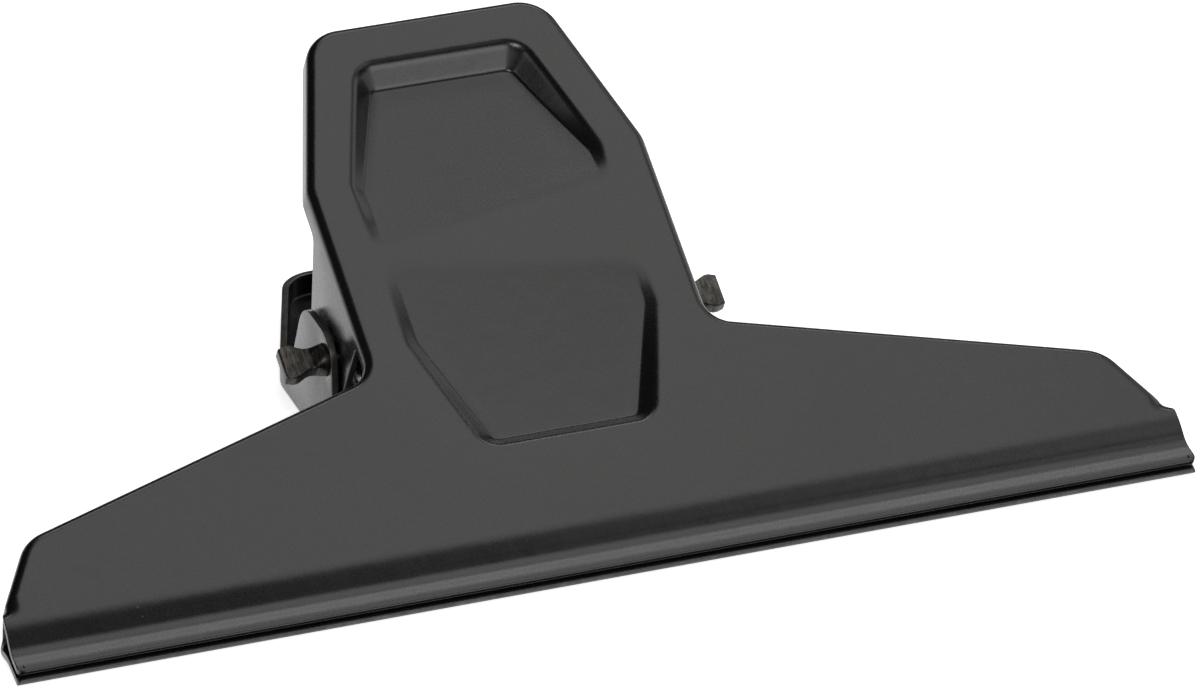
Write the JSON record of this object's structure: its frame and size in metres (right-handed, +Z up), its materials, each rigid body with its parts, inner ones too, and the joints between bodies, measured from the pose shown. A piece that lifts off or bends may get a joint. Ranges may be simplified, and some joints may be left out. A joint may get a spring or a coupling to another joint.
{
  "type": "bulldog clip",
  "caption": "Wide sprung paper clip of two hinged pressed-steel plates with long straight jaws, tapering handles with octagonal recesses, turned-back rims, a pivot axle and a torsion spring",
  "frame": {"origin": "middle of the clip on the surface that it lies on, its rear plate down and its jaws shut", "axes": "+X along the jaws, +Y from the jaws to the handles, +Z up from the rear plate to the front plate"},
  "size_m": [0.125, 0.0678, 0.0359],
  "materials": {
    "enamel": "satin black stoving enamel",
    "axle_steel": "dark drawn steel with press marks",
    "spring_steel": "bare drawn spring wire"
  },
  "bodies": {
    "rear": {"rear_plate": "enamel", "pivot_axle": "axle_steel", "torsion_spring": "spring_steel"},
    "front": {"front_plate": "enamel"}
  },
  "joints": [
    {"name": "jaw_hinge", "type": "hinge", "parent": "rear", "child": "front", "pos_m": [0, 0.00056, 0.01114], "axis": [-1, 0, 0], "range_deg": [0, 52], "stiffness_Nm_per_rad": 0.63, "springref_deg": -51.57, "deforming": ["torsion_spring"]}
  ]
}
